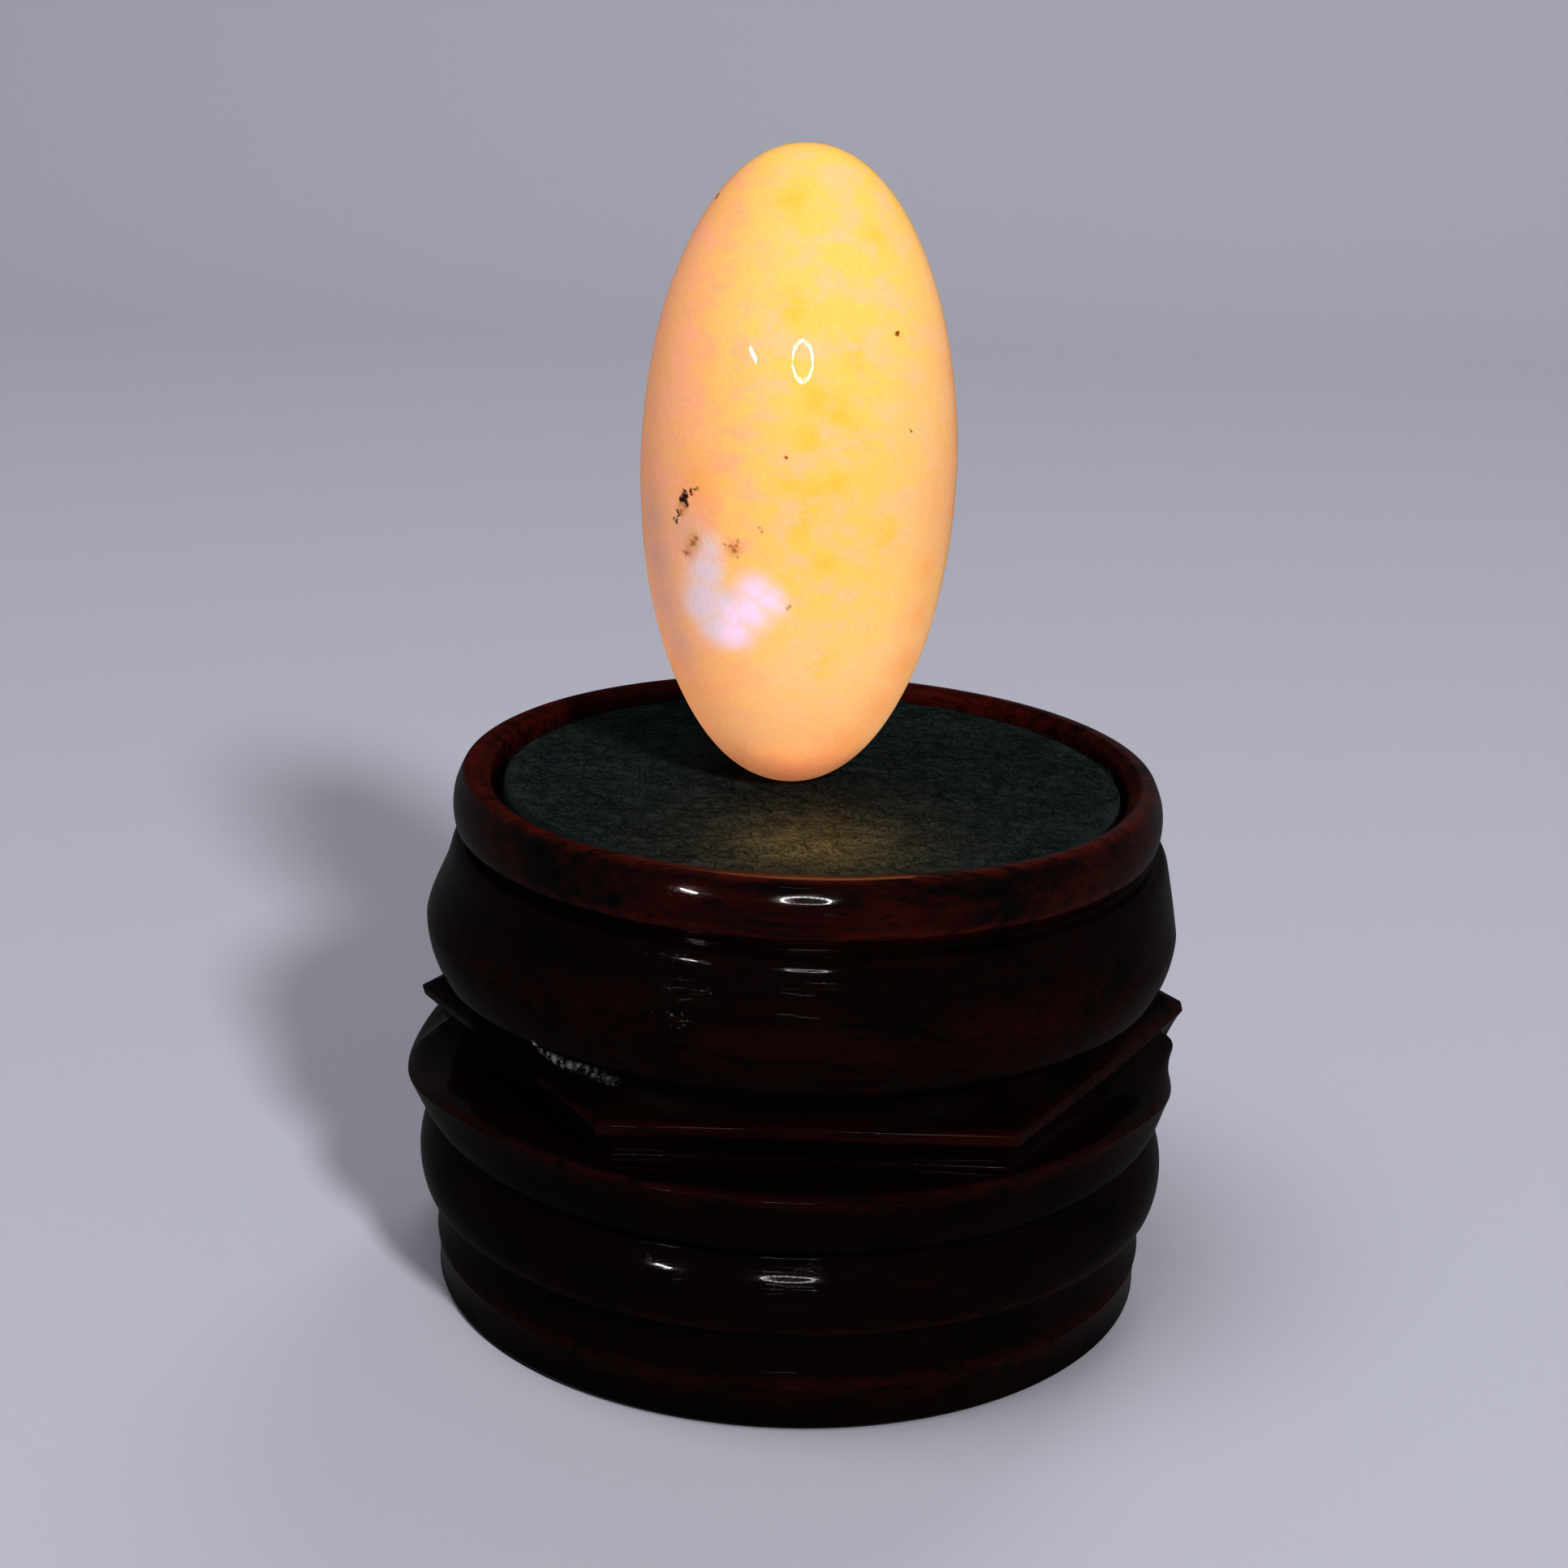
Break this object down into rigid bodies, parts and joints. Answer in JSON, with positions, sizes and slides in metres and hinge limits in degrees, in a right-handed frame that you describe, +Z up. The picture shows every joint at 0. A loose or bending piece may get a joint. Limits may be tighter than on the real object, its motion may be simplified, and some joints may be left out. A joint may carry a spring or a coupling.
{
  "type": "polished tugtupite on a stand",
  "caption": "Polished egg-long tugtupite standing on its tip on a dark felt pad, let into the top of a round turned and carved hardwood stand with beads and a six-sided collar.",
  "frame": {"origin": "centre of the stand's flat foot, on the surface that it stands on", "axes": "+Z up along the stone, -Y towards the front of the stand, +X to its right"},
  "size_m": [0.0377, 0.0366, 0.0544],
  "materials": {
    "stone": "high polish, translucent, warm orange with pink and lilac patches",
    "wood": "deep red-brown hardwood under glossy lacquer",
    "felt": "dark blue-green wool felt"
  },
  "bodies": {
    "root": {"stone": "stone", "stand": "wood", "pad": "felt"}
  },
  "joints": []
}
